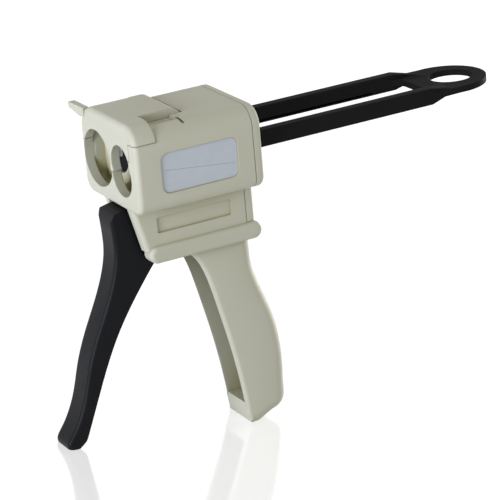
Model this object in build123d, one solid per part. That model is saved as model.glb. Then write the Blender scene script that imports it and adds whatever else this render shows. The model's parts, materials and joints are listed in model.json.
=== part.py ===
import os
from math import asin, cos, degrees, pi, radians, sin, sqrt, tan
from build123d import *

os.makedirs("parts", exist_ok=True)

# The tool is drawn with its plungers level: X runs from the front plate to the rear, Y is zero on the
# middle plane with the label side at -Y, and Z is up. Sizes are millimetres and degrees. At the end every
# piece is turned into the pose in which the tool stands, on the trigger's toe and the handle's foot.

# Upper body
body_half = 28.5
body_top = 19.3
body_bottom = -20.5
body_length = 60.3
top_round = 9.5
bottom_round = 6.5
front_round = 2.4
wall = 2.6
fit_gap = 0.3
seat_gap = 0.15

# Front plate, cartridge flange slot and bulkhead
plate_thickness = 4.5
slot_width = 6.0
slot_half = 26.3
slot_floor = -16.5
bulkhead_thickness = 3.5

# Cradle openings in the front plate (below) and in the flap (above)
far_y, far_r = 11.5, 14.4
near_y, near_z, near_r = -12.2, -4.0, 9.8
flap_far_y, flap_far_z, flap_far_r = 13.0, -1.2, 13.7
flap_near_y, flap_near_z, flap_near_r = -11.5, 1.5, 9.1
tongue_bottom = -3.6

# Flap, its hinge and thumb tab
flap_top = 22.0
flap_round = 11.5
flap_plate = 4.2
cheek_seam = 13.6
insert_seam = 5.3
insert_near = -21.5
near_cheek_length = 11.3
far_cheek_length = 24.0
cheek_swing_gap = 1.0
strap_near = -10.75
strap_far = 19.5
hinge_x, hinge_z = 28.0, 16.5
hinge_pin_r = 1.4
hinge_pin_half = 21.8
tab_reach = 10.5
tab_depth = 2.6
tab_root, tab_tip = 4.2, 2.6
pocket_near = -19.5
pocket_floor = 18.0
pin_slot_width, pin_slot_length = 1.6, 7.0

# Neck, rolled flange and handle
neck_half = 15.0
neck_front_top = 1.6
neck_front_bottom = 9.0
neck_mouth_half = 9.7
flange_half = 17.0
flange_front, flange_rear = 8.5, 67.6
flange_top, flange_bottom = -40.3, -48.7
flange_plate = 3.0
flange_round = 4.1
trigger_gate_rear = 35.5
handle_half = 11.2
handle_wall = 2.4
handle_web = 3.2
handle_rear_round = 6.5
channel_top, channel_bottom = -50.5, -133.0

# Label plate and the bare recess below it
label_front, label_rear = 12.6, 51.8
label_bottom, label_top = -11.4, 7.4
label_round = 2.0
label_depth = 0.8
label_thickness = 0.6
recess_front, recess_rear = 14.0, 52.8
recess_bottom, recess_top = -34.3, -26.8
recess_depth = 0.6

# Rear cover
cover_seam = 0.3
cover_thickness = 4.5
cover_bottom = -40.0
cover_round = 2.2
spigot_depth = 2.4
spigot_thickness = 1.6
window_half = 9.0
screw_upper_z = 12.2
screw_post_r = 4.1
screw_post_bite = 0.8
screw_post_length = 9.0
screw_r = 1.3
screw_head_r = 2.7
screw_head_height = 2.0
screw_length = 10.0

# Trigger
trigger_half = 7.5
pivot_x, pivot_z = 26.0, -29.0
pivot_pin_r = 2.0
pin_play = 0.05
pin_seat = 1.1
hub_r = 6.3
arm_length = 15.0
squeeze_angle = 27.0
arm_r = 3.4
clevis_half = 3.2
grip_round = 2.0

# Plunger frame
rod_centre = 16.75
rod_width = 6.3
rod_height = 8.2
rod_round = 1.0
rod_straight_end = 164.0
rod_taper = 12.0
plunger_stroke = 85.0
skirt_width = 2.0
rack_depth = 1.3
rack_pitch = 2.0
rack_start, rack_end = 26.0, 150.0
rack_clear = 0.35
ring_thickness = 3.0
ring_x, ring_r = 183.5, 21.0
finger_x, finger_r = 187.0, 11.2
web_front = 166.0
web_round = 6.0
foot_length = 6.0
foot_reach = 4.0

# Piston discs
far_disc_r = 10.0
near_disc_y, near_disc_r = -11.6, 7.0
disc_thickness = 3.0
disc_setback = 0.5
piston_screw_length = 9.0

# Drive pawl
pawl_pad_half = 1.75
pawl_pad_front, pawl_pad_rear = -6.3, -1.3
pawl_bar = 3.0
pawl_bar_drop = 2.0
pawl_pin_r = 1.2
pawl_hub_r = 3.0
shelf_drop = 2.2
shelf_thickness = 2.0
small_coil_r = 1.5
small_wire_r = 0.3
small_turns = 3.5

# Holding pawl
hold_x, hold_z = 46.0, -10.5
hold_pin_r = 1.5
hold_hub_r = 3.0
hold_half = 19.2
hold_pad_front, hold_pad_rear = -9.4, -4.4
hold_bar = 3.2
hold_tail_length = 5.4
hold_tail_half = 4.0
hold_tail_thickness = 2.0
hold_spring_r = 2.0
hold_wire_r = 0.35
hold_turns = 4.5

# Release lever
lever_x, lever_z = 56.5, -20.5
lever_pin_r = 1.5
lever_hub_r = 3.0
lever_half = 8.7
lever_web_half = 3.0
lever_proud = 0.9
lever_pad_thickness = 4.6
lever_pad_top = -22.6
lever_sweep_r = 18.0
lever_tip_r = 1.0

# Trigger return spring
spring_wire_r = 0.5
spring_coil_r = 3.3
spring_turns = 3
spring_pitch = 1.15
spring_leg = 14.0
spring_leg_angle = -135.0
brace_angle = -58.0

# Stance: the handle's foot, and how far the plungers rise to the rear
foot_x, foot_z = 60.0, -143.6
stance_tilt = 6.8

# Values that follow
slot_rear = plate_thickness + slot_width
bulkhead_rear = slot_rear + bulkhead_thickness
barrel_r = flap_top - hinge_z
groove_r = barrel_r + fit_gap
relief_rear = hinge_x + barrel_r + 2 * fit_gap
nest_half = body_half - wall - 2 * fit_gap
nest_top = flap_top - flap_plate - fit_gap
nest_round = top_round - wall + fit_gap
seam_x = body_length + cover_seam
cover_rear = seam_x + cover_thickness
rod_inner = rod_centre - rod_width / 2
rod_outer = rod_centre + rod_width / 2
rod_bottom = -rod_height / 2
skirt_inner = rod_outer - skirt_width
rack_tip = rod_bottom + 0.2
rack_root = rack_tip + rack_depth
pad_centre = skirt_inner - rack_clear - pawl_pad_half
pad_top = rack_tip - rack_clear
swing = radians(squeeze_angle / 2)
arm_x = pivot_x + arm_length * sin(swing)
arm_z = pivot_z + arm_length * cos(swing)
arm_rise = arm_length * (1 - cos(swing))
cavity_half = body_half - wall
cavity_floor = body_bottom + wall
cavity_top = body_top - wall
low_cavity_top = hinge_z - groove_r - wall
neck_inner = neck_half - wall
screw_y = cavity_half - screw_post_r + screw_post_bite
screw_lower_z = cavity_floor + screw_post_r - screw_post_bite
window_top = lever_pad_top + fit_gap
window_bottom = lever_z - lever_sweep_r - fit_gap
disc_front = slot_rear + disc_setback
disc_rear = disc_front + disc_thickness


def slab(face, low, high):
    """A face drawn in X and Z, carried along Y from low to high."""
    return extrude(Plane.XZ.offset(-high) * face, amount=high - low)


def run(face, low, high):
    """A face drawn in Y and Z, carried along X from low to high."""
    return extrude(Plane.YZ.offset(low) * face, amount=high - low)


def block(x_low, x_high, y_low, y_high, z_low, z_high):
    size = Box(x_high - x_low, y_high - y_low, z_high - z_low)
    return Pos((x_low + x_high) / 2, (y_low + y_high) / 2, (z_low + z_high) / 2) * size


def rod_y(x, z, radius, low, high):
    """A round bar along Y from low to high."""
    return Pos(x, (low + high) / 2, z) * Rot(90, 0, 0) * Cylinder(radius, high - low)


def rod_x(y, z, radius, low, high):
    """A round bar along X from low to high."""
    return Pos((low + high) / 2, y, z) * Rot(0, 90, 0) * Cylinder(radius, high - low)


def area(points):
    return make_face(Polyline(*points, close=True))


def disc(x, y, radius):
    return Pos(x, y) * Circle(radius)


def rounded(width, low, high, low_round, high_round):
    """A face of half width, from low to high, with its own radii on the lower and upper corners."""
    face = Pos(0, (low + high) / 2) * Rectangle(2 * width, high - low)
    upper = face.vertices().filter_by(lambda v: v.Y > (low + high) / 2)
    if high_round > 0:
        face = fillet(upper, high_round)
    lower = face.vertices().filter_by(lambda v: v.Y < low + 0.01)
    if low_round > 0:
        face = fillet(lower, low_round)
    return face


def panel(x_low, x_high, z_low, z_high, corner):
    """A face in X and Z with round corners."""
    face = Pos((x_low + x_high) / 2, (z_low + z_high) / 2) * Rectangle(x_high - x_low, z_high - z_low)
    return fillet(face.vertices(), corner)


def body_profile(inset=0.0, top=None):
    high = body_top - inset if top is None else top
    return rounded(body_half - inset, body_bottom + inset, high, bottom_round - inset, top_round - inset)


def nest_profile(gap=0.0):
    """The body's own outline under the flap; a gap makes it the flap's inner outline."""
    return rounded(nest_half + gap, body_bottom, nest_top + gap, 0, nest_round + gap)


# Cradle openings

def cradle(grow=0.0):
    """The two barrel openings below the flap, as a face in Y and Z."""
    return disc(far_y, 0, far_r + grow) + disc(near_y, near_z, near_r + grow)


def flap_arches(grow=0.0):
    """The two barrel openings as the flap closes them, as a face in Y and Z."""
    far = disc(flap_far_y, flap_far_z, flap_far_r + grow)
    near = disc(flap_near_y, flap_near_z, flap_near_r + grow)
    return far + near


# Stance

def stand(shape):
    return Rot(0, -stance_tilt, 0) * Pos(-foot_x, 0, -foot_z) * shape


def below_floor():
    """Everything under the surface that the tool stands on."""
    reach = 400
    under = Pos(0, 0, -reach / 2) * Box(2 * reach, reach, reach)
    return Pos(foot_x, 0, foot_z) * Rot(0, stance_tilt, 0) * under


# Housing

def upper_body():
    outer = run(body_profile(), 0, body_length)
    front_edges = outer.faces().sort_by(Axis.X)[0].edges()
    outer = fillet(front_edges, front_round)
    return outer


def neck_and_flange():
    drop = flange_top - 2
    front_low = neck_front_top + (neck_front_bottom - neck_front_top) * (body_bottom - drop) / (
        body_bottom - flange_bottom)
    side = area([(neck_front_top, body_bottom + 1), (front_low, drop), (body_length, drop),
                 (body_length, body_bottom + 1)])
    neck = slab(side, -neck_half, neck_half)
    front = neck.edges().filter_by(lambda e: abs(e.center().Y) > neck_half - 0.1
                                   and e.center().X < front_low)
    neck = fillet(front, front_round)
    roll = slab(panel(flange_front, flange_rear, flange_bottom, flange_top, flange_round),
                -flange_half, flange_half)
    rims = roll.faces().filter_by(Axis.Y).edges()
    return neck + fillet(rims, grip_round)


def handle_face(shrink=0.0):
    """The handle's side outline. With shrink it is the space inside the channel."""
    rear = [(64.6, -46.0), (65.4, -59.0), (68.6, -71.2), (75.3, -90.1), (78.9, -112.2), (78.0, -130.6)]
    if shrink:
        curve = Spline(*[(x - shrink, z) for x, z in rear])
        low = curve @ 1 + 6 * (curve % 1)
        box = Polyline(curve @ 1, low, (20, low.Y), (20, rear[0][1]), curve @ 0)
        return make_face(curve + box)
    back = Spline(*rear)
    heel = Spline(back @ 1, (75.4, -138.2), (69.4, -141.6), tangents=[back % 1, Vector(-1, -0.25)])
    sole = Line(heel @ 1, (foot_x + 4, foot_z - 0.6))
    land = Line(sole @ 1, (foot_x - 2.5, foot_z - 0.6))
    toe = Spline(land @ 1, (54.9, -140.6), (54.0, -132.1), tangents=[Vector(-1, 0.2), Vector(-0.1, 1)])
    front = Spline(toe @ 1, (47.9, -97.4), (43.7, -79.7), (39.2, -63.2), (34.6, -53.6), (25.0, -47.0))
    lid = Line(front @ 1, back @ 0)
    return make_face(back + heel + sole + land + toe + front + lid)


def handle():
    solid = slab(handle_face(), -handle_half, handle_half)
    rear = solid.edges().filter_by(lambda e: abs(e.center().Y) > handle_half - 0.1
                                   and e.center().X > foot_x + 6)
    return fillet(rear, handle_rear_round)


def handle_channel():
    inside = slab(handle_face(handle_web), -handle_half + handle_wall, handle_half - handle_wall)
    rear = inside.edges().filter_by(lambda e: e.center().X > foot_x and abs(e.center().Y) > 1
                                    and abs(e.tangent_at(0.5).Z) > 0.5)
    inside = fillet(rear, handle_rear_round - handle_wall)
    return inside & block(0, 100, -handle_half, handle_half, channel_bottom, channel_top)


def flap_seat():
    """What the flap and its swing take out of the upper body."""
    seam = cheek_seam - fit_gap
    over = flap_top + 5
    far_zone = block(-1, far_cheek_length + fit_gap, strap_near - fit_gap, body_half + 1, seam, over)
    near_zone = block(-1, near_cheek_length + fit_gap, -body_half - 1, strap_near, seam, over)
    nest = run(nest_profile(), slot_rear, far_cheek_length + 2)
    shoulder = (far_zone + near_zone) - nest
    plate = block(-1, hinge_x, strap_near - fit_gap, strap_far + fit_gap, nest_top, over)
    relief = block(hinge_x, relief_rear, strap_near - fit_gap, strap_far + fit_gap, hinge_z, over)
    groove = rod_y(hinge_x, hinge_z, groove_r, strap_near - fit_gap, strap_far + fit_gap)
    pocket = block(near_cheek_length, hinge_x - 1, pocket_near, strap_near, pocket_floor, over)
    insert = block(-1, plate_thickness + 1, insert_near - fit_gap, body_half + 1, insert_seam - fit_gap, over)
    tongue = block(-1, plate_thickness + 1, near_y, far_y, tongue_bottom - fit_gap, insert_seam)
    slot_half_width = pin_slot_width / 2
    pin_slot = block(hinge_x - slot_half_width, hinge_x + slot_half_width, pocket_near - pin_slot_length + 3,
                     pocket_near + 3, hinge_z, over)
    return shoulder + plate + relief + groove + pocket + insert + tongue + pin_slot


def body_hollows():
    """The slot for the cartridge flange, the bores behind it and the space for the rods and pawls."""
    slot_face = rounded(slot_half, slot_floor, flap_top + 5, bottom_round - wall, 0)
    slot = run(slot_face, plate_thickness, slot_rear)
    bores = disc(far_y, 0, far_disc_r + fit_gap) + disc(near_disc_y, 0, near_disc_r + fit_gap)
    notch = Rectangle(rod_width + 2 * fit_gap, rod_height + 2 * fit_gap)
    bores = bores + Pos(rod_centre, 0) * notch + Pos(-rod_centre, 0) * notch
    behind = run(body_profile(wall, low_cavity_top), bulkhead_rear, body_length + 1)
    high = run(body_profile(wall), relief_rear + wall, body_length + 1)
    return slot + run(bores, slot_rear - 1, bulkhead_rear + 1) + behind + high


def neck_hollows():
    lip = wall
    low = flange_bottom + flange_plate
    slope = (neck_front_bottom - neck_front_top) / (body_bottom - flange_bottom)
    top_front = neck_front_top + lip
    low_front = neck_front_top + lip + slope * (body_bottom - low)
    side = area([(top_front, body_bottom - 0.4), (bulkhead_rear, body_bottom - 0.4),
                 (bulkhead_rear, cavity_floor + 1), (body_length + 1, cavity_floor + 1),
                 (body_length + 1, low), (low_front, low)])
    room = slab(side, -neck_inner, neck_inner)
    mouth = block(-5, low_front + 2, -neck_mouth_half, neck_mouth_half, low, body_bottom - 0.4)
    gate = block(-5, trigger_gate_rear, -neck_mouth_half, neck_mouth_half, flange_bottom - 1, low + 0.5)
    return room + mouth + gate


def sleeves():
    """Bosses inside the housing that seat the pins and the cover screws."""
    parts = []
    for side in (-1, 1):
        inner, outer = sorted((side * (trigger_half + fit_gap), side * (neck_inner + 0.5)))
        parts.append(rod_y(pivot_x, pivot_z, hub_r - 1.3, inner, outer))
        inner, outer = sorted((side * (lever_half + fit_gap + 0.2), side * (neck_inner + 0.5)))
        parts.append(rod_y(lever_x, lever_z, lever_hub_r + 0.3, inner, outer))
        inner, outer = sorted((side * (hold_half + fit_gap), side * (cavity_half + 0.5)))
        parts.append(rod_y(hold_x, hold_z, hold_hub_r + 0.6, inner, outer))
        for z in (screw_upper_z, screw_lower_z):
            parts.append(rod_x(side * screw_y, z, screw_post_r, body_length - screw_post_length, body_length))
    shell = run(body_profile(0.2), 0, body_length) + slab(
        area([(0, body_bottom + 3), (body_length, body_bottom + 3), (body_length, flange_top - 2),
              (10, flange_top - 2)]), -neck_half + 0.2, neck_half - 0.2)
    return [part & shell for part in parts]


def pin_seats():
    """Bores for the pins and the pilot holes of the cover screws."""
    seats = rod_y(pivot_x, pivot_z, pivot_pin_r + pin_play, -neck_inner - pin_seat, neck_inner + pin_seat)
    seats += rod_y(lever_x, lever_z, lever_pin_r + pin_play, -neck_inner - pin_seat, neck_inner + pin_seat)
    seats += rod_y(hold_x, hold_z, hold_pin_r + pin_play, -cavity_half, cavity_half)
    seats += rod_y(hinge_x, hinge_z, hinge_pin_r + pin_play, -hinge_pin_half - 0.2, hinge_pin_half + 0.2)
    for side in (-1, 1):
        for z in (screw_upper_z, screw_lower_z):
            depth = seam_x - screw_length
            seats += rod_x(side * screw_y, z, screw_r + pin_play, depth, body_length + 1)
    return seats


def make_housing():
    label = slab(panel(label_front - seat_gap, label_rear + seat_gap, label_bottom - seat_gap,
                       label_top + seat_gap, label_round), -body_half - 1, -body_half + label_depth)
    recess = slab(panel(recess_front, recess_rear, recess_bottom, recess_top, 0.8),
                  -neck_half - 1, -neck_half + recess_depth)
    solid = upper_body() + neck_and_flange() + handle()
    solid = solid - flap_seat() - body_hollows() - neck_hollows() - handle_channel()
    solid = solid - run(cradle() + flap_arches(), -1, plate_thickness + 1) - label - recess
    for part in sleeves():
        solid = solid + part
    return solid - pin_seats() - below_floor()


# Flap

def make_flap():
    outer = run(rounded(body_half, body_bottom, flap_top, 0, flap_round), 0, far_cheek_length)
    front = outer.faces().sort_by(Axis.X)[0].edges().filter_by(lambda e: e.center().Z > body_bottom + 1)
    outer = fillet(front, front_round)
    inner = run(nest_profile(fit_gap), plate_thickness - 0.2, far_cheek_length + 1)
    keep = block(-1, far_cheek_length, strap_near, body_half + 1, cheek_seam, flap_top + 1)
    keep += block(-1, near_cheek_length, -body_half - 1, strap_near, cheek_seam, flap_top + 1)
    keep += block(-1, plate_thickness - 0.2, insert_near, body_half + 1, insert_seam, flap_top + 1)
    tongue = block(0, plate_thickness - 0.2, near_y + near_r / 2, far_y - far_r / 2, tongue_bottom,
                   insert_seam + 1)
    shell = (outer & (keep + tongue)) - inner
    shell -= run(flap_arches(), -1, slot_rear)
    shell -= block(-1, plate_thickness, flap_far_y + flap_far_r - 0.05, body_half, tongue_bottom, insert_seam)
    plate = block(far_cheek_length - 2, hinge_x, strap_near, strap_far, flap_top - flap_plate, flap_top)
    barrel = rod_y(hinge_x, hinge_z, barrel_r, strap_near, strap_far)
    lip_y = body_half - flap_round / 2
    tab = run(area([(lip_y, flap_top - 1.2), (body_half + tab_reach, 20.6),
                    (body_half + tab_reach, 20.6 - tab_tip), (body_half - 2, flap_top - 1.2 - tab_root - 0.6),
                    (lip_y, flap_top - 1.2 - tab_root)]), -0.4, tab_depth)
    corners = tab.edges().filter_by(Axis.X).filter_by(lambda e: e.center().Y > body_half + 1)
    tab = fillet(corners, 1.0)
    swing = block(far_cheek_length - cheek_swing_gap, far_cheek_length + 1, strap_far, body_half + 1,
                  cheek_seam - 1, body_top)
    solid = shell - swing + plate + barrel + tab
    return solid - rod_y(hinge_x, hinge_z, hinge_pin_r + pin_play, -body_half, body_half)


# Rear cover and its screws

def make_rear_cover():
    upper = run(body_profile(), seam_x, cover_rear)
    lower = run(rounded(neck_half, cover_bottom, body_bottom + 2, 0, 0), seam_x, cover_rear)
    cover = upper + lower
    rim = cover.faces().sort_by(Axis.X)[-1].edges()
    cover = fillet(rim, cover_round)
    ring = run(body_profile(wall + fit_gap), body_length - spigot_depth, seam_x)
    ring -= run(body_profile(wall + fit_gap + spigot_thickness), body_length - spigot_depth - 1, seam_x)
    ring -= block(0, seam_x, -neck_inner - 1, neck_inner + 1, body_bottom, cavity_floor + 4)
    cover += ring
    rods = Rectangle(rod_width + 2 * fit_gap, rod_height + 2 * fit_gap)
    rods = fillet(rods.vertices(), rod_round)
    for side in (-1, 1):
        cover -= run(Pos(side * rod_centre, 0) * rods, 0, cover_rear + 1)
        for z in (screw_upper_z, screw_lower_z):
            cover -= rod_x(side * screw_y, z, screw_post_r + fit_gap, 0, seam_x)
            cover -= rod_x(side * screw_y, z, screw_r + 0.2, 0, cover_rear + 1)
            cover -= rod_x(side * screw_y, z, screw_head_r + 0.2, cover_rear - screw_head_height, cover_rear + 1)
    cover -= block(seam_x - 9, cover_rear + 1, -window_half, window_half, window_bottom, window_top)
    return cover


def make_cover_screws():
    group = []
    for side in (-1, 1):
        for z in (screw_upper_z, screw_lower_z):
            base = cover_rear - screw_head_height
            head = rod_x(side * screw_y, z, screw_head_r, base, base + screw_head_height - 0.3)
            head -= block(base + 1.0, cover_rear, side * screw_y - 0.4, side * screw_y + 0.4, z - 1.7, z + 1.7)
            head -= block(base + 1.0, cover_rear, side * screw_y - 1.7, side * screw_y + 1.7, z - 0.4, z + 0.4)
            shank = rod_x(side * screw_y, z, screw_r, seam_x - screw_length + 0.5, base)
            group.append(head + shank)
    return group


# Trigger

def trigger_face():
    front = Spline((-5.6, -27.0), (-5.0, -36.0), (-5.1, -43.5), (-7.3, -54.0), (-13.3, -69.0), (-18.9, -80.8),
                   (-24.8, -96.5), (-28.4, -109.5), (-31.5, -117.2), (-36.0, -124.8))
    toe = Spline(front @ 1, (-38.9, -131.2), (-35.5, -134.0), tangents=[front % 1, Vector(1, 0.15)])
    sole = Line(toe @ 1, (-29.9, -130.0))
    back = Spline(sole @ 1, (-21.8, -110.8), (-7.5, -80.5), (5.1, -62.1), (14.8, -50.0))
    arm_left = arm_x - arm_r
    heel = Polyline(back @ 1, (pivot_x + hub_r * 0.75, pivot_z - hub_r * 0.66), (pivot_x + hub_r, pivot_z),
                    (arm_x + arm_r, arm_z), (arm_left, arm_z), (arm_left - 5, arm_z - 8.2), (1.5, -21.9),
                    (-4.0, -23.1), front @ 0)
    face = make_face(front + toe + sole + back + heel)
    return face + disc(arm_x, arm_z, arm_r) + disc(pivot_x, pivot_z, hub_r)


def make_trigger():
    solid = slab(trigger_face(), -trigger_half, trigger_half)
    long_edges = solid.edges().filter_by(lambda e: abs(e.center().Y) > trigger_half - 0.1 and e.length > 60)
    solid = fillet(long_edges.sort_by(Axis.X)[:2], grip_round)
    slot = slab(disc(pivot_x, pivot_z, hub_r + 0.3), -clevis_half, clevis_half)
    slot += slab(area([(pivot_x - 6.6, pivot_z), (arm_x - 9, arm_z - shelf_drop - arm_r + 1.2),
                       (arm_x - 9, arm_z + 6), (arm_x + 6, arm_z + 6), (pivot_x + 8, pivot_z)]),
                 -clevis_half, clevis_half)
    leg = Rot(0, 0, spring_leg_angle) * Pos(spring_leg / 2, -spring_coil_r) * Rectangle(
        spring_leg + 1.6, 2 * spring_wire_r + 1.6)
    leg = Pos(pivot_x, pivot_z) * leg
    slot += slab(leg, -clevis_half, clevis_half)
    solid -= slot
    shelf_top = arm_z - arm_r - shelf_drop + 1.2
    shelf = block(arm_x - 7.0, arm_x - 1.6, -clevis_half - 1, clevis_half + 1, shelf_top - shelf_thickness,
                  shelf_top)
    solid += shelf
    solid -= rod_y(pivot_x, pivot_z, pivot_pin_r + pin_play, -trigger_half - 1, trigger_half + 1)
    solid -= rod_y(arm_x, arm_z, pawl_pin_r + pin_play, -trigger_half - 1, trigger_half + 1)
    return solid - below_floor()


def coil(x, y, z_low, z_high, mean_r, wire_r, turns):
    """A compression spring standing along Z with a flat half turn at each end."""
    rise = z_high - z_low - 2 * wire_r
    path = Helix(pitch=rise / turns, height=rise, radius=mean_r)
    start = Plane(origin=path @ 0, z_dir=path % 0)
    wire = sweep(start * Circle(wire_r), path=path, is_frenet=True)
    return Pos(x, y, z_low + wire_r) * wire


def make_trigger_spring():
    """A torsion spring round the trigger's pin, all one wire. One leg lies in the trigger, the other braces
    against the plate below the neck."""
    turns = spring_turns + (spring_leg_angle - brace_angle + 180) / 360
    height = turns * spring_pitch
    path = Helix(pitch=spring_pitch, height=height, radius=spring_coil_r)
    start, end = path @ 0, path @ 1
    rise = spring_coil_r * cos(radians(brace_angle)) + pivot_z
    brace = (rise - (flange_bottom + flange_plate) - spring_wire_r - fit_gap) / sin(radians(-brace_angle))
    route = Line(start - brace * (path % 0), start) + path + Line(end, end + spring_leg * (path % 1))
    wire = sweep(Plane(origin=route @ 0, z_dir=route % 0) * Circle(spring_wire_r), path=route, is_frenet=True)
    upright = Rot(90, 0, 0) * Rot(0, 0, brace_angle + 90) * wire
    return Pos(pivot_x, height / 2, pivot_z) * upright


# Pawls

def pad(x_front, x_rear, z_base, side):
    """A toothed pad below one rack. The steep faces look to the front."""
    teeth = []
    x = x_front
    while x < x_rear - 0.01:
        teeth += [(x, pad_top), (x + rack_pitch, pad_top - rack_depth)]
        x += rack_pitch
    outline = [(x_front, z_base)] + teeth + [(x, z_base)]
    low, high = sorted((side * (pad_centre - pawl_pad_half), side * (pad_centre + pawl_pad_half)))
    return slab(area(outline), low, high)


def make_drive_pawl():
    bar_top = pad_top - arm_rise - rack_depth - pawl_bar_drop
    bar_low = bar_top - pawl_bar
    reach = pad_centre + pawl_pad_half
    solid = rod_y(arm_x, arm_z, pawl_hub_r, -clevis_half + fit_gap, clevis_half - fit_gap)
    solid += block(arm_x - 2.4, arm_x + 2.4, -clevis_half + fit_gap, clevis_half - fit_gap, arm_z, bar_top)
    solid += block(arm_x + pawl_pad_front, arm_x + 2.4, -reach, reach, bar_low, bar_top)
    for side in (-1, 1):
        tooth = pad(arm_x + pawl_pad_front, arm_x + pawl_pad_rear, bar_low + arm_rise + 1, side)
        solid += Pos(0, 0, -arm_rise) * tooth
    return solid - rod_y(arm_x, arm_z, pawl_pin_r + pin_play, -reach, reach)


def make_drive_spring():
    low = arm_z - arm_r - shelf_drop + 1.2
    bar_low = pad_top - arm_rise - rack_depth - pawl_bar_drop - pawl_bar
    return coil(arm_x - 5.2, 0, low + 0.05, bar_low - 0.05, small_coil_r, small_wire_r, small_turns)


def make_holding_pawl():
    top = pad_top - rack_depth - 0.6
    reach = pad_centre + pawl_pad_half
    solid = rod_y(hold_x, hold_z, hold_hub_r, -hold_half, hold_half)
    for side in (-1, 1):
        low, high = sorted((side * (pad_centre - pawl_pad_half), side * reach))
        arm = area([(hold_x + hold_pad_front, top - hold_bar), (hold_x + hold_pad_rear, top - hold_bar),
                    (hold_x, hold_z - hold_hub_r + 0.6),
                    (hold_x + 1.0, hold_z + hold_hub_r - 0.2), (hold_x + hold_pad_rear + 1.5, top),
                    (hold_x + hold_pad_front, top)])
        solid += slab(arm, low, high)
        solid += pad(hold_x + hold_pad_front, hold_x + hold_pad_rear, top - 1, side)
    tail = area([(hold_x, hold_z - hold_tail_thickness), (hold_x + hold_tail_length, hold_z - hold_tail_thickness),
                 (hold_x + hold_tail_length, hold_z), (hold_x, hold_z + 1.5)])
    solid += slab(tail, -hold_tail_half, hold_tail_half)
    return solid - rod_y(hold_x, hold_z, hold_pin_r + pin_play, -hold_half - 1, hold_half + 1)


def make_holding_springs():
    top = pad_top - rack_depth - 0.6 - hold_bar
    x = hold_x + (hold_pad_front + hold_pad_rear) / 2 - 0.4
    return [coil(x, side * pad_centre, cavity_floor + 0.05, top - 0.35, hold_spring_r, hold_wire_r, hold_turns)
            for side in (-1, 1)]


# Release lever

def make_release_lever():
    pad_front = cover_rear + lever_proud - lever_pad_thickness
    pad_rear = cover_rear + lever_proud
    plate = block(pad_front, pad_rear, -lever_half, lever_half, lever_z - lever_sweep_r - 1, lever_pad_top)
    plate &= rod_y(lever_x, lever_z, lever_sweep_r, -lever_half, lever_half)
    tip_x = hold_x + hold_tail_length - lever_tip_r - 0.4
    tip_z = hold_z - hold_tail_thickness - fit_gap - lever_tip_r
    web = area([(lever_x - 1.5, lever_z - lever_hub_r + 0.3), (pad_front + 1, lever_z - 12),
                (pad_front + 1, lever_pad_top), (body_length - 0.6, lever_pad_top), (lever_x + 2.2, lever_z + 1.2),
                (tip_x + 0.3, tip_z + lever_tip_r), (tip_x - 0.9, tip_z - 0.4)])
    solid = rod_y(lever_x, lever_z, lever_hub_r, -lever_half, lever_half)
    solid += slab(web + disc(tip_x, tip_z, lever_tip_r), -lever_web_half, lever_web_half)
    solid += plate
    return solid - rod_y(lever_x, lever_z, lever_pin_r + pin_play, -lever_half - 1, lever_half + 1)


# Plunger

def rack():
    """The saw teeth under a rod, drawn in X and Z. The steep faces look to the rear."""
    count = round((rack_end - rack_start) / rack_pitch)
    points = [(rack_start, rack_root + 0.5)]
    for i in range(count):
        x = rack_start + i * rack_pitch
        points += [(x, rack_root), (x + rack_pitch, rack_tip)]
    points += [(rack_start + count * rack_pitch, rack_root + 0.5)]
    return area(points)


def make_plunger_frame():
    section = Rectangle(rod_width, rod_height)
    section = fillet(section.vertices(), rod_round)
    small = Rectangle(rod_width, ring_thickness)
    small = fillet(small.vertices(), rod_round)
    ring = disc(ring_x, 0, ring_r) + area([(web_front, -rod_outer), (ring_x, -ring_r), (ring_x, ring_r),
                                           (web_front, rod_outer)])
    gap = Pos(web_front - 20, 0) * Rectangle(40, 2 * rod_inner)
    ring += Pos((web_front + rod_straight_end) / 2 - 4, 0) * Rectangle(web_front - rod_straight_end + 8,
                                                                       2 * rod_outer)
    ring -= fillet(gap.vertices().filter_by(lambda v: v.X > web_front - 10), web_round)
    ring -= disc(finger_x, 0, finger_r)
    solid = extrude(ring, amount=ring_thickness / 2, both=True)
    for side in (-1, 1):
        middle = side * rod_centre
        bar = run(Pos(middle, 0) * section, disc_rear, rod_straight_end)
        taper = loft([Plane.YZ.offset(rod_straight_end) * Pos(middle, 0) * section,
                      Plane.YZ.offset(rod_straight_end + rod_taper) * Pos(middle, 0) * small])
        low, high = sorted((side * (rod_inner - 1), side * skirt_inner))
        bar -= block(rack_start, rack_end, low, high, rod_bottom - 1, rack_root + 0.4)
        low, high = sorted((side * rod_inner, side * skirt_inner))
        teeth = slab(rack(), low, high)
        centre, radius = (far_y, far_disc_r) if side > 0 else (near_disc_y, near_disc_r)
        low, high = sorted((centre - side * foot_reach, side * (rod_inner + 1)))
        foot = block(disc_rear, disc_rear + foot_length, low, high, rod_bottom, -rod_bottom)
        foot += rod_x(centre, 0, foot_reach, disc_rear, disc_rear + foot_length)
        solid += bar + taper + teeth + foot
        solid -= rod_x(centre, 0, screw_r + pin_play, disc_rear - 1, disc_front + piston_screw_length + 0.6)
    return solid


def make_disc(centre, radius):
    solid = rod_x(centre, 0, radius, disc_front, disc_rear)
    rim = solid.edges().filter_by(GeomType.CIRCLE).sort_by(Axis.X)[0]
    solid = chamfer(rim, 0.6)
    solid -= rod_x(centre, 0, screw_head_r + 0.2, disc_front - 1, disc_front + 1.6)
    return solid - rod_x(centre, 0, screw_r + pin_play, disc_front - 1, disc_rear + 1)


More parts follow.
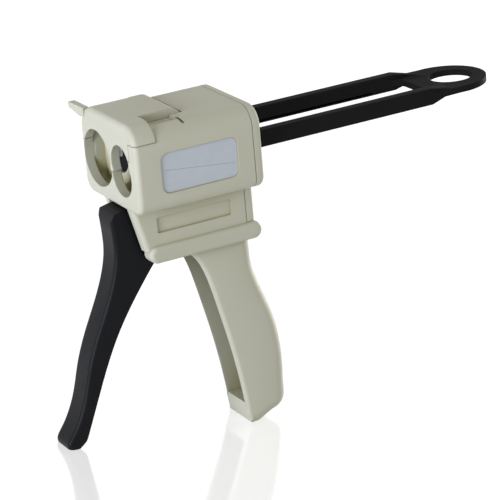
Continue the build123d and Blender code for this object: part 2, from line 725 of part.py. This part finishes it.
def make_piston_screws():
    group = []
    for centre in (far_y, near_disc_y):
        head = rod_x(centre, 0, screw_head_r, disc_front + 0.2, disc_front + 1.6)
        head -= block(disc_front, disc_front + 0.9, centre - 0.4, centre + 0.4, -1.7, 1.7)
        head -= block(disc_front, disc_front + 0.9, centre - 1.7, centre + 1.7, -0.4, 0.4)
        group.append(head + rod_x(centre, 0, screw_r, disc_front + 1.6, disc_front + piston_screw_length))
    return group


# Plain pieces

def make_label():
    face = panel(label_front, label_rear, label_bottom, label_top, label_round - seat_gap)
    return slab(face, -body_half + label_depth - label_thickness, -body_half + label_depth)


def pin(x, z, radius, half):
    bar = rod_y(x, z, radius, -half, half)
    return chamfer(bar.edges().filter_by(GeomType.CIRCLE), 0.3)


def group(shapes):
    return Compound(children=list(shapes))


nodes = {
    "housing_body": make_housing(),
    "rear_cover": make_rear_cover(),
    "rear_cover_screws": group(make_cover_screws()),
    "label_plate": make_label(),
    "cartridge_flap": make_flap(),
    "flap_hinge_pin": pin(hinge_x, hinge_z, hinge_pin_r, hinge_pin_half),
    "trigger": make_trigger(),
    "trigger_pivot_pin": pin(pivot_x, pivot_z, pivot_pin_r, neck_inner + pin_seat - 0.1),
    "trigger_return_spring": make_trigger_spring(),
    "drive_pawl": make_drive_pawl(),
    "drive_pawl_pin": pin(arm_x, arm_z, pawl_pin_r, trigger_half - 0.2),
    "drive_pawl_spring": make_drive_spring(),
    "holding_pawl": make_holding_pawl(),
    "holding_pawl_pin": pin(hold_x, hold_z, hold_pin_r, cavity_half - 0.1),
    "holding_pawl_springs": group(make_holding_springs()),
    "release_lever": make_release_lever(),
    "release_lever_pin": pin(lever_x, lever_z, lever_pin_r, neck_inner + pin_seat - 0.1),
    "plunger_frame": make_plunger_frame(),
    "far_piston_disc": make_disc(far_y, far_disc_r),
    "near_piston_disc": make_disc(near_disc_y, near_disc_r),
    "piston_screws": group(make_piston_screws()),
}

for name, shape in nodes.items():
    export_step(stand(shape), f"parts/{name}.step")
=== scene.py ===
import json
import math

import bmesh
import bpy
import numpy as np
from mathutils import Matrix, Vector


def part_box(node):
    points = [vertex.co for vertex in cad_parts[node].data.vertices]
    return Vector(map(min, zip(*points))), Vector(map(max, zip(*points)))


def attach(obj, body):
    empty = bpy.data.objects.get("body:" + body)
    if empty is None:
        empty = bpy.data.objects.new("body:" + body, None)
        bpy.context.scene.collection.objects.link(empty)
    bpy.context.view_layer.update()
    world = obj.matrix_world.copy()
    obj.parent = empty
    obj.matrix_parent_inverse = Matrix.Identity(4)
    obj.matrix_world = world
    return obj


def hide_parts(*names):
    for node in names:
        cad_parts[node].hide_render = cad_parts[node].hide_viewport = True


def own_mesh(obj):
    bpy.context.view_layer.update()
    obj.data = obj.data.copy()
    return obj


# A two-barrel cartridge dispenser: satin ivory housing, black trigger and toothed rods

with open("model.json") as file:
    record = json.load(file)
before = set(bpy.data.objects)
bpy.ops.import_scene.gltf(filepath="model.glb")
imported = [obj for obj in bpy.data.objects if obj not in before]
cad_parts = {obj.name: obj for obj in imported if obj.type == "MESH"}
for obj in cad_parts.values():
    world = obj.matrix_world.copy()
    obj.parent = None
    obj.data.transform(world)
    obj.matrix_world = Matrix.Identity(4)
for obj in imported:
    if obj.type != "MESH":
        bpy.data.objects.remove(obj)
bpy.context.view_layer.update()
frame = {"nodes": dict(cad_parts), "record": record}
print("frame is loaded:", len(frame["nodes"]), "nodes")


# Sockets wrapped so that shader maths reads as plain sums

class Wire:
    def __init__(self, tree, socket):
        self.tree = tree
        self.socket = socket

    def maths(self, operation, *others):
        return add(self.tree, "ShaderNodeMath", {"operation": operation}, [self, *others])

    def __add__(self, other):
        return self.maths("ADD", other)

    def __sub__(self, other):
        return self.maths("SUBTRACT", other)

    def __mul__(self, other):
        return self.maths("MULTIPLY", other)

    def __lt__(self, other):
        return self.maths("LESS_THAN", other)

    def __abs__(self):
        return self.maths("ABSOLUTE")

    def __rsub__(self, other):
        return add(self.tree, "ShaderNodeMath", {"operation": "SUBTRACT"}, [other, self])

    __radd__ = __add__
    __rmul__ = __mul__


# A node with its settings first and then the values or links of its sockets
def add(tree, kind, settings, values, out=0):
    node = tree.nodes.new(kind)
    for name, value in settings.items():
        setattr(node, name, value)
    pairs = values.items() if isinstance(values, dict) else enumerate(values)
    for key, value in pairs:
        if isinstance(value, Wire):
            tree.links.new(value.socket, node.inputs[key])
        elif value is not None:
            node.inputs[key].default_value = value
    return Wire(tree, node.outputs[out])


def newMaterial(name):
    material = bpy.data.materials.new(name)
    material.use_nodes = True
    tree = material.node_tree
    tree.nodes.clear()
    return material, tree


def finishMaterial(tree, shader):
    output = tree.nodes.new("ShaderNodeOutputMaterial")
    tree.links.new(shader.socket, output.inputs["Surface"])


def objectPlace(tree):
    return add(tree, "ShaderNodeTexCoord", {}, {}, "Object")


def noise(tree, place, scale, detail, roughness):
    return add(tree, "ShaderNodeTexNoise", {}, {"Vector": place, "Scale": scale, "Detail": detail,
                                                "Roughness": roughness})


def mixColor(tree, factor, first, second):
    node = tree.nodes.new("ShaderNodeMix")
    node.data_type = "RGBA"
    for key, value in (("Factor", factor), ("A", first), ("B", second)):
        kind = "VALUE" if key == "Factor" else "RGBA"
        socket = [s for s in node.inputs if s.name == key and s.type == kind][0]
        if isinstance(value, Wire):
            tree.links.new(value.socket, socket)
        else:
            socket.default_value = value
    return Wire(tree, [s for s in node.outputs if s.type == "RGBA"][0])


# Camera where the photograph was taken from

cameraView = {
    "aim": (-0.0022, -0.0014, 0.0842),
    "azimuth": -29.35,
    "elevation": 16.82,
    "roll": 1.34,
    "distance": 1.2214,
    "lens": 183.9,
    "sensor": 36.0,
}


def aimAt(place, target):
    return (Vector(target) - Vector(place)).to_track_quat("-Z", "Y").to_matrix().to_4x4()


def makeCamera(view):
    around, above = math.radians(view["azimuth"]), math.radians(view["elevation"])
    back = Vector((math.sin(around) * math.cos(above), -math.cos(around) * math.cos(above), math.sin(above)))
    place = Vector(view["aim"]) + back * view["distance"]
    lens = bpy.data.cameras.new("photoCamera")
    lens.lens = view["lens"]
    lens.sensor_width = view["sensor"]
    lens.sensor_height = view["sensor"]
    holder = bpy.data.objects.new("photoCamera", lens)
    turn = Matrix.Rotation(math.radians(view["roll"]), 4, "Z")
    holder.matrix_world = Matrix.Translation(place) @ aimAt(place, view["aim"]) @ turn
    bpy.context.scene.collection.objects.link(holder)
    bpy.context.scene.camera = holder


# Lamps round the tool: broad soft boxes, the floor in front glowing most

lampRig = {
    "frontLowLamp": {"place": (-1.27, -0.36, 0.12), "aim": (0.0, 0.0, 0.09), "size": 0.8,
                     "color": (0.93, 0.97, 1.12), "watts": 22.0},
    "sideHighLamp": {"place": (0.2, -1.15, 0.72), "aim": (0.0, 0.0, 0.09), "size": 0.8,
                     "color": (1.0, 0.98, 0.86), "watts": 2.0},
    "topLamp": {"place": (0.1, 0.1, 1.45), "aim": (0.02, 0.0, 0.1), "size": 1.1,
                "color": (1.0, 0.98, 0.86), "watts": 1.6},
    "rearLamp": {"place": (1.25, 0.3, 0.3), "aim": (0.0, 0.0, 0.07), "size": 0.7, "watts": 14.0},
}


def makeLamp(name, lamp):
    light = bpy.data.lights.new(name, "AREA")
    light.shape = "DISK"
    light.size = lamp["size"]
    light.energy = lamp["watts"]
    light.color = lamp.get("color", (1.0, 1.0, 1.0))
    holder = bpy.data.objects.new(name, light)
    holder.matrix_world = Matrix.Translation(lamp["place"]) @ aimAt(lamp["place"], lamp["aim"])
    bpy.context.scene.collection.objects.link(holder)


# Even white surroundings, full white to the eye and to gloss, dimmer as light

skyLook = {"fill": 0.32, "fillColor": (1.0, 1.0, 1.0, 1.0)}


def makeSky(look):
    world = bpy.data.worlds.new("studio")
    world.use_nodes = True
    tree = world.node_tree
    tree.nodes.clear()
    ray = tree.nodes.new("ShaderNodeLightPath")
    seen = Wire(tree, ray.outputs["Is Camera Ray"]) + Wire(tree, ray.outputs["Is Glossy Ray"])
    seen = seen + Wire(tree, ray.outputs["Is Transmission Ray"])
    light = add(tree, "ShaderNodeBackground", {}, {"Color": look["fillColor"], "Strength": look["fill"]})
    white = add(tree, "ShaderNodeBackground", {}, {"Color": (1, 1, 1, 1), "Strength": 1.0})
    mixed = add(tree, "ShaderNodeMixShader", {}, [seen, light, white])
    output = tree.nodes.new("ShaderNodeOutputWorld")
    tree.links.new(mixed.socket, output.inputs["Surface"])
    bpy.context.scene.world = world


# Pale floor: white to the eye, with a faint shadow and a soft mirror image under the toe and the foot

floorLook = {
    "halfWidth": 3.0,
    "drop": 0.00005,
    "bounceColor": (0.82, 0.82, 0.82, 1.0),
    "seenColor": (0.34, 0.34, 0.34, 1.0),
    "seenGlow": 0.87,
    "gloss": 0.3,
    "glossRoughness": 0.1,
}


def floorMaterial(look):
    material, tree = newMaterial("paleFloor")
    ray = tree.nodes.new("ShaderNodeLightPath")
    seen = Wire(tree, ray.outputs["Is Camera Ray"]) + Wire(tree, ray.outputs["Is Glossy Ray"])
    bounce = add(tree, "ShaderNodeBsdfDiffuse", {}, {"Color": look["bounceColor"]})
    paint = add(tree, "ShaderNodeBsdfDiffuse", {}, {"Color": look["seenColor"]})
    glow = add(tree, "ShaderNodeEmission", {}, {"Color": (1, 1, 1, 1), "Strength": look["seenGlow"]})
    lit = add(tree, "ShaderNodeAddShader", {}, [paint, glow])
    mirror = add(tree, "ShaderNodeBsdfGlossy", {}, {"Color": (1, 1, 1, 1), "Roughness": look["glossRoughness"]})
    glossy = add(tree, "ShaderNodeMixShader", {}, [look["gloss"], lit, mirror])
    finishMaterial(tree, add(tree, "ShaderNodeMixShader", {}, [seen, bounce, glossy]))
    return material


def makeFloor(look, material):
    half = look["halfWidth"]
    side = np.linspace(-half, half, 2)
    across, along = np.meshgrid(side, side, indexing="ij")
    points = np.stack([across.ravel(), along.ravel(), np.full(4, -look["drop"])], axis=1)
    mesh = bpy.data.meshes.new("floor")
    mesh.from_pydata(points.tolist(), [], [(0, 2, 3, 1)])
    mesh.materials.append(material)
    floor = bpy.data.objects.new("floor", mesh)
    bpy.context.scene.collection.objects.link(floor)


# Satin moulded plastic: slow flow marks in the colour, fine grain in the surface, softened edges, and on the
# ivory painted shade in recesses

ivoryLook = {
    "color": (0.525, 0.52, 0.415, 1.0),
    "shadeColor": (0.475, 0.465, 0.355, 1.0),
    "flowContrast": 0.9,
    "flowScale": 26.0,
    "roughness": 0.5,
    "level": 0.3,
    "tint": (1.0, 1.0, 1.0, 1.0),
    "grainScale": 1500.0,
    "grainDepth": 0.05,
    "edgeRadius": 0.0006,
    "paintedShadeColor": (0.40, 0.375, 0.205, 1.0),  # painted shade: darker, yellower colour in recesses, standing in for shade and light bouncing within the ivory
    "paintedShadeReach": 0.02,                       # how far away a wall still counts, metres
    "paintedShadeFrom": 0.86,                        # openness below which the painted shade starts to come in
    "paintedShadeShare": 1.6,
}

satinBlackLook = {
    "color": (0.0075, 0.0075, 0.008, 1.0),
    "shadeColor": (0.012, 0.012, 0.013, 1.0),
    "flowContrast": 0.8,
    "flowScale": 40.0,
    "roughness": 0.4,
    "level": 0.08,
    "tint": (0.88, 0.92, 1.0, 1.0),
    "grainScale": 1900.0,
    "grainDepth": 0.07,
    "edgeRadius": 0.0004,
}

mattBlackLook = {
    "color": (0.014, 0.014, 0.0145, 1.0),
    "shadeColor": (0.02, 0.02, 0.021, 1.0),
    "flowContrast": 0.9,
    "flowScale": 55.0,
    "roughness": 0.5,
    "level": 0.008,
    "tint": (0.9, 0.94, 1.0, 1.0),
    "grainScale": 1700.0,
    "grainDepth": 0.09,
    "edgeRadius": 0.0004,
}

pawlLook = {
    "color": (0.6, 0.6, 0.57, 1.0),
    "shadeColor": (0.5, 0.5, 0.46, 1.0),
    "flowContrast": 1.0,
    "flowScale": 60.0,
    "roughness": 0.42,
    "level": 0.5,
    "tint": (1.0, 1.0, 1.0, 1.0),
    "grainScale": 1400.0,
    "grainDepth": 0.04,
    "edgeRadius": 0.0002,
}


# What all the moulded plastics share: detail and roughness of each noise, and how much each one does
mouldedGrain = {
    "flow": (3.0, 0.55),
    "grain": (2.0, 0.6),
    "speck": (2.0, 0.5),
    "flowStart": 0.35,     # noise value at which the shade colour comes in
    "speckSize": 0.12,     # specks' scale as a share of the grain's
    "speckHeight": 0.6,    # specks' height beside the grain's
    "bumpDistance": 0.0002,
    "flowRough": 0.08,
    "speckRough": 0.06,
    "roughMiddle": 0.07,   # half of what flow and specks add
    "edgeSamples": 4,
    "paintedShadeSamples": 8,
    "ior": 1.5,
}


def mouldedPlastic(name, look, shared=mouldedGrain):
    material, tree = newMaterial(name)
    place = objectPlace(tree)
    flow = noise(tree, place, look["flowScale"], *shared["flow"])
    grain = noise(tree, place, look["grainScale"], *shared["grain"])
    speck = noise(tree, place, look["grainScale"] * shared["speckSize"], *shared["speck"])
    shade = (flow - shared["flowStart"]) * look["flowContrast"]
    color = mixColor(tree, shade, look["color"], look["shadeColor"])
    # Painted shade: where the surface is enclosed by nearby walls, the colour turns darker and yellower,
    # standing in for shade in recesses
    if "paintedShadeColor" in look:
        reach = {"Distance": look["paintedShadeReach"]}
        openness = add(tree, "ShaderNodeAmbientOcclusion",
                       {"samples": shared["paintedShadeSamples"], "only_local": True}, reach, "AO")
        color = mixColor(tree, (look["paintedShadeFrom"] - openness) * look["paintedShadeShare"], color, look["paintedShadeColor"])
    edge = add(tree, "ShaderNodeBevel", {"samples": shared["edgeSamples"]}, {"Radius": look["edgeRadius"]})
    bump = add(tree, "ShaderNodeBump", {}, {
        "Strength": look["grainDepth"], "Distance": shared["bumpDistance"],
        "Height": grain + speck * shared["speckHeight"], "Normal": edge})
    smoothest = look["roughness"] - shared["roughMiddle"]
    rough = flow * shared["flowRough"] + speck * shared["speckRough"] + smoothest
    finishMaterial(tree, add(tree, "ShaderNodeBsdfPrincipled", {}, {
        "Base Color": color, "Roughness": rough, "Normal": bump, "IOR": shared["ior"],
        "Specular IOR Level": look["level"], "Specular Tint": look["tint"]}))
    return material


# Smooth satin film with one thin divider along it, otherwise bare

labelLook = {
    "color": (0.52, 0.56, 0.595, 1.0),
    "shadeColor": (0.48, 0.515, 0.56, 1.0),
    "lineColor": (0.17, 0.18, 0.22, 1.0),
    "lineHeight": 0.47,   # share of the film's height
    "lineWidth": 0.0001,  # half of it, metres
    "lineEnd": 0.44,      # share of the film's length from its middle
    "lineShare": 0.75,    # how much of the line's colour covers the film
    "mottle": (260.0, 3.0, 0.6),
    "mottleRough": 0.1,
    "bumpStrength": 0.04,
    "bumpDistance": 0.0001,
    "roughness": 0.27,
    "ior": 1.46,
}


def labelFilm(look, low, high):
    material, tree = newMaterial("labelFilm")
    place = objectPlace(tree)
    along = add(tree, "ShaderNodeSeparateXYZ", {}, {"Vector": place}, "X")
    upward = add(tree, "ShaderNodeSeparateXYZ", {}, {"Vector": place}, "Z")
    lineZ = low.z + look["lineHeight"] * (high.z - low.z)
    middleX, reach = (low.x + high.x) / 2, look["lineEnd"] * (high.x - low.x)
    line = (abs(upward - lineZ) < look["lineWidth"]) * (abs(along - middleX) < reach)
    mottle = noise(tree, place, *look["mottle"])
    base = mixColor(tree, mottle, look["color"], look["shadeColor"])
    color = mixColor(tree, line * look["lineShare"], base, look["lineColor"])
    rough = mottle * look["mottleRough"] + look["roughness"]
    bump = add(tree, "ShaderNodeBump", {}, {
        "Strength": look["bumpStrength"], "Distance": look["bumpDistance"], "Height": mottle})
    finishMaterial(tree, add(tree, "ShaderNodeBsdfPrincipled", {}, {
        "Base Color": color, "Roughness": rough, "Normal": bump, "IOR": look["ior"]}))
    return material


# Drawn or ground steel: fine lines across Y, which is round the pins, and a little stain

pinLook = {"color": (0.56, 0.56, 0.57, 1.0), "roughness": 0.26, "lineScale": 900.0}
springLook = {"color": (0.4, 0.4, 0.41, 1.0), "roughness": 0.32, "lineScale": 500.0}
turnedGrain = {"distortion": 2.0, "detail": 2.0, "stain": (300.0, 3.0, 0.5), "lineRough": 0.1,
               "stainRough": 0.1, "bumpStrength": 0.08, "bumpDistance": 0.00005}


def turnedMetal(name, look, shared=turnedGrain):
    material, tree = newMaterial(name)
    place = objectPlace(tree)
    lines = add(tree, "ShaderNodeTexWave", {"bands_direction": "Y"}, {
        "Vector": place, "Scale": look["lineScale"], "Distortion": shared["distortion"],
        "Detail": shared["detail"]})
    stain = noise(tree, place, *shared["stain"])
    rough = lines * shared["lineRough"] + stain * shared["stainRough"] + look["roughness"]
    bump = add(tree, "ShaderNodeBump", {}, {
        "Strength": shared["bumpStrength"], "Distance": shared["bumpDistance"], "Height": lines})
    finishMaterial(tree, add(tree, "ShaderNodeBsdfPrincipled", {}, {
        "Base Color": look["color"], "Metallic": 1.0, "Roughness": rough, "Normal": bump}))
    return material


# Pieces

# The tool's own millimetres, X to the rear from the front plate, made places in the frame by its stance
toolStance = {"tilt": 6.8, "footX": 60.0, "footZ": -143.6}


def toolPlace(x, y, z):
    tilt = math.radians(toolStance["tilt"])
    x, z = np.asarray(x) - toolStance["footX"], np.asarray(z) - toolStance["footZ"]
    across = np.broadcast_to(y, np.broadcast(x, z).shape)
    return np.stack([x * math.cos(tilt) - z * math.sin(tilt), across,
                     x * math.sin(tilt) + z * math.cos(tilt)], axis=-1) / 1000.0


# The handle's outer edges are rolled: crisp edges on its flat sides, in front and below, get a rounded strip
handleRoll = {"half": 11.2, "slack": 0.05, "top": -50.5, "low": -145.0, "frontward": -0.3, "downward": -0.5,
              "radius": 0.0019, "segments": 5, "crispAngle": 50.0, "flatAngle": 0.3}


def rollHandleEdges(work, look):
    tilt = math.radians(toolStance["tilt"])

    def height(point):
        return (point.z * math.cos(tilt) - point.x * math.sin(tilt)) * 1000 + toolStance["footZ"]

    low = [e for e in work.edges if all(height(v.co) < look["top"] for v in e.verts)]
    bmesh.ops.dissolve_limit(work, angle_limit=math.radians(look["flatAngle"]), edges=low,
                             verts=list({v for e in low for v in e.verts}))
    chosen = []
    for edge in work.edges:
        if len(edge.link_faces) != 2 or edge.calc_face_angle(0.0) < math.radians(look["crispAngle"]):
            continue
        onSide = all(abs(abs(v.co.y) * 1000 - look["half"]) < look["slack"] for v in edge.verts)
        inReach = all(look["low"] < height(v.co) < look["top"] for v in edge.verts)
        facesOut = any(face.normal.x < look["frontward"] or face.normal.z < look["downward"]
                       for face in edge.link_faces)
        if onSide and inReach and facesOut:
            chosen.append(edge)
    bmesh.ops.bevel(work, geom=chosen, offset=look["radius"], offset_type="OFFSET", segments=look["segments"],
                    profile=0.5, affect="EDGES", clamp_overlap=False)
    print("handle edges rolled:", len(chosen), "open edges:", sum(len(e.link_faces) != 2 for e in work.edges))


# The node's own shape with its triangles joined, smooth between edges sharper than the angle
copying = {"sharpAngle": 28.0, "weld": 1e-6}


def smoothCopy(node, name, shaping=None, look=None):
    source = frame["nodes"][node]
    mesh = source.data.copy()
    mesh.name = name
    work = bmesh.new()
    work.from_mesh(mesh)
    bmesh.ops.remove_doubles(work, verts=work.verts, dist=copying["weld"])
    if shaping:
        shaping(work, look)
    limit = math.radians(copying["sharpAngle"])
    for face in work.faces:
        face.smooth = True
    for edge in work.edges:
        edge.smooth = len(edge.link_faces) == 2 and edge.calc_face_angle(0.0) < limit
    work.to_mesh(mesh)
    work.free()
    piece = bpy.data.objects.new(name, mesh)
    bpy.context.scene.collection.objects.link(piece)
    return piece


# A closed outline in Y and Z carried straight along X: ring i, point j is (x[i], y[j], z[j]), its ends capped
def carryOutline(name, stations, outlineY, outlineZ, material):
    rings, count = len(stations), len(outlineY)
    points = toolPlace(np.repeat(stations, count), np.tile(outlineY, rings), np.tile(outlineZ, rings))
    ring, spot = np.meshgrid(np.arange(rings - 1), np.arange(count), indexing="ij")
    here, after = ring * count + spot, ring * count + (spot + 1) % count
    sides = np.stack([here, after, after + count, here + count], axis=-1).reshape(-1, 4)
    caps = [list(range(count)), list(range((rings - 1) * count, rings * count))]
    mesh = bpy.data.meshes.new(name)
    mesh.from_pydata(points.tolist(), [], sides.tolist() + caps)
    work = bmesh.new()
    work.from_mesh(mesh)
    bmesh.ops.recalc_face_normals(work, faces=work.faces)
    work.to_mesh(mesh)
    work.free()
    mesh.materials.append(material)
    piece = bpy.data.objects.new(name, mesh)
    bpy.context.scene.collection.objects.link(piece)
    return piece


# Plain walls on the rods' inner sides, which hide the racks: a straight strip with a quarter round at its
# foot, Y = inside + round (1 - cos t) and Z = foot + round (1 - sin t), with t from 0 to a right angle
rackWall = {"front": 26.0, "rear": 150.0, "inside": 13.6, "width": 1.1, "top": -2.2, "foot": -4.1, "round": 1.0,
            "stations": 32, "roundSteps": 7}


def makeRackWall(name, look, side, material):
    turn = np.linspace(0.0, math.pi / 2, look["roundSteps"])
    outlineY = np.concatenate([[look["inside"]], look["inside"] + look["round"] * (1 - np.cos(turn)),
                               [look["inside"] + look["width"]] * 2])
    outlineZ = np.concatenate([[look["top"]], look["foot"] + look["round"] * (1 - np.sin(turn)),
                               [look["foot"], look["top"]]])
    stations = np.linspace(look["front"], look["rear"], look["stations"])
    piece = carryOutline(name, stations, side * outlineY, outlineZ, material)
    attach(piece, bodyOf("plunger_frame"))


# Faces let in a little deeper: the label in its window and the bare field on the neck
labelSink = {"face": -28.3, "slack": 0.02, "depth": 0.45}
neckFieldSink = {"face": -14.4, "slack": 0.02, "depth": 0.3, "front": 13.0, "rear": 54.0, "bottom": -36.0,
                 "top": -25.0}


# A piece's vertices as an array, and the same in the tool's own millimetres along, across and up
def vertexPlaces(piece):
    places = np.empty(len(piece.data.vertices) * 3)
    piece.data.vertices.foreach_get("co", places)
    places = places.reshape(-1, 3)
    tilt = math.radians(toolStance["tilt"])
    along = (places[:, 0] * math.cos(tilt) + places[:, 2] * math.sin(tilt)) * 1000 + toolStance["footX"]
    upward = (places[:, 2] * math.cos(tilt) - places[:, 0] * math.sin(tilt)) * 1000 + toolStance["footZ"]
    return places, along, places[:, 1] * 1000, upward


# Vertices move by the tool's own millimetres along and up
def shiftPlaces(places, along, upward):
    tilt = math.radians(toolStance["tilt"])
    places[:, 0] += (along * math.cos(tilt) - upward * math.sin(tilt)) / 1000.0
    places[:, 2] += (along * math.sin(tilt) + upward * math.cos(tilt)) / 1000.0


def placeVertices(piece, places):
    piece.data.vertices.foreach_set("co", places.ravel())
    piece.data.update()


# Every vertex whose Y is the face's moves inward by the depth
def sinkFace(piece, look):
    places, along, across, upward = vertexPlaces(piece)
    chosen = np.abs(across - look["face"]) < look["slack"]
    if "front" in look:
        chosen &= (along > look["front"]) & (along < look["rear"])
        chosen &= (upward > look["bottom"]) & (upward < look["top"])
    places[chosen, 1] += look["depth"] / 1000.0
    placeVertices(piece, places)
    print(piece.name, "vertices let in:", int(chosen.sum()))


# The label and its window get rounder corners: each corner's arc is scaled up about the corner's sharp point
windowCorners = {"front": 12.45, "rear": 51.95, "bottom": -11.55, "top": 7.55, "arc": 2.0, "rounder": 3.7,
                 "innermost": -27.4, "slack": 0.02, "gap": 0.0}
labelCorners = dict(windowCorners, gap=0.15)


def roundCorners(piece, look):
    places, along, across, upward = vertexPlaces(piece)
    arc, rounder = look["arc"] - look["gap"], look["rounder"] - look["gap"]
    moved = 0
    for edgeX, turnX in ((look["front"] + look["gap"], 1), (look["rear"] - look["gap"], -1)):
        for edgeZ, turnZ in ((look["bottom"] + look["gap"], 1), (look["top"] - look["gap"], -1)):
            inX, inZ = (along - edgeX) * turnX, (upward - edgeZ) * turnZ
            chosen = (across < look["innermost"]) & (inX > -look["slack"]) & (inX < arc + look["slack"])
            chosen &= (inZ > -look["slack"]) & (inZ < arc + look["slack"])
            growth = chosen * (rounder / arc - 1)
            shiftPlaces(places, growth * inX * turnX, growth * inZ * turnZ)
            moved += int(chosen.sum())
    placeVertices(piece, places)
    print(piece.name, "corner vertices moved:", moved)


# 0 before the start and 1 past the full place, with a soft S between them
def smoothStep(value, start, full):
    step = np.clip((value - start) / (full - start), 0.0, 1.0)
    return step * step * (3.0 - 2.0 * step)


# The finger ring is slimmer across: Y is multiplied by 1 minus the share, which comes in on a smooth step
# along the rods
ringWaist = {"start": 164.0, "full": 181.0, "share": 0.08}


def slimRing(piece, look):
    places, along, across, upward = vertexPlaces(piece)
    places[:, 1] *= 1.0 - look["share"] * smoothStep(along, look["start"], look["full"])
    placeVertices(piece, places)


# The handle's back is drawn in: it moves forward by the depth, on smooth steps in from its front and its ends
handleBack = {"depth": 1.5, "along": (52.0, 62.0), "upper": (-52.0, -68.0), "lower": (-138.0, -124.0)}


def slimHandle(piece, look):
    places, along, across, upward = vertexPlaces(piece)
    share = smoothStep(along, *look["along"]) * smoothStep(upward, *look["upper"])
    share = share * smoothStep(upward, *look["lower"])
    shiftPlaces(places, -share * look["depth"], 0.0)
    placeVertices(piece, places)


def pressSprings(piece):
    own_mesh(piece)


def bodyOf(node):
    return next(b for b, members in frame["record"]["behaviour"]["bodies"].items() if node in members)


def pieceName(node):
    words = node.split("_")
    return words[0] + "".join(word.capitalize() for word in words[1:])


def dress(node, material):
    shaping, look = (rollHandleEdges, handleRoll) if node == "housing_body" else (None, None)
    piece = smoothCopy(node, pieceName(node), shaping, look)
    piece.data.materials.clear()
    piece.data.materials.append(material)
    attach(piece, bodyOf(node))
    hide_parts(node)
    return piece


bpy.context.scene.view_settings.view_transform = "Standard"
makeCamera(cameraView)
makeSky(skyLook)
makeFloor(floorLook, floorMaterial(floorLook))
for lampName, lampValues in lampRig.items():
    makeLamp(lampName, lampValues)
print("stage, lamps and camera are set")

ivory = mouldedPlastic("ivoryPlastic", ivoryLook)
satinBlack = mouldedPlastic("satinBlackPlastic", satinBlackLook)
mattBlack = mouldedPlastic("mattBlackPlastic", mattBlackLook)
pawlPlastic = mouldedPlastic("pawlPlastic", pawlLook)
pinSteel = turnedMetal("pinSteel", pinLook)
springSteel = turnedMetal("springSteel", springLook)
film = labelFilm(labelLook, *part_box("label_plate"))
print("materials are made")

finishes = {
    "housing_body": (ivory, "ivory_plastic"),
    "rear_cover": (ivory, "ivory_plastic"),
    "cartridge_flap": (ivory, "ivory_plastic"),
    "label_plate": (film, "label_film"),
    "trigger": (satinBlack, "black_plastic"),
    "plunger_frame": (mattBlack, "black_plastic"),
    "far_piston_disc": (mattBlack, "black_plastic"),
    "near_piston_disc": (mattBlack, "black_plastic"),
    "release_lever": (satinBlack, "black_plastic"),
    "drive_pawl": (pawlPlastic, "pawl_plastic"),
    "holding_pawl": (pawlPlastic, "pawl_plastic"),
    "flap_hinge_pin": (pinSteel, "pin_steel"),
    "trigger_pivot_pin": (pinSteel, "pin_steel"),
    "drive_pawl_pin": (pinSteel, "pin_steel"),
    "holding_pawl_pin": (pinSteel, "pin_steel"),
    "release_lever_pin": (pinSteel, "pin_steel"),
    "rear_cover_screws": (pinSteel, "pin_steel"),
    "piston_screws": (pinSteel, "pin_steel"),
    "trigger_return_spring": (springSteel, "spring_steel"),
    "drive_pawl_spring": (springSteel, "spring_steel"),
    "holding_pawl_springs": (springSteel, "spring_steel"),
}
dressed = {node: dress(node, finish) for node, (finish, slotName) in finishes.items()}
roundCorners(dressed["label_plate"], labelCorners)
roundCorners(dressed["housing_body"], windowCorners)
sinkFace(dressed["label_plate"], labelSink)
sinkFace(dressed["housing_body"], neckFieldSink)
slimHandle(dressed["housing_body"], handleBack)
slimRing(dressed["plunger_frame"], ringWaist)
pressSprings(dressed["holding_pawl_springs"])
makeRackWall("farRackWall", rackWall, 1, mattBlack)
makeRackWall("nearRackWall", rackWall, -1, mattBlack)
print("pieces are dressed")
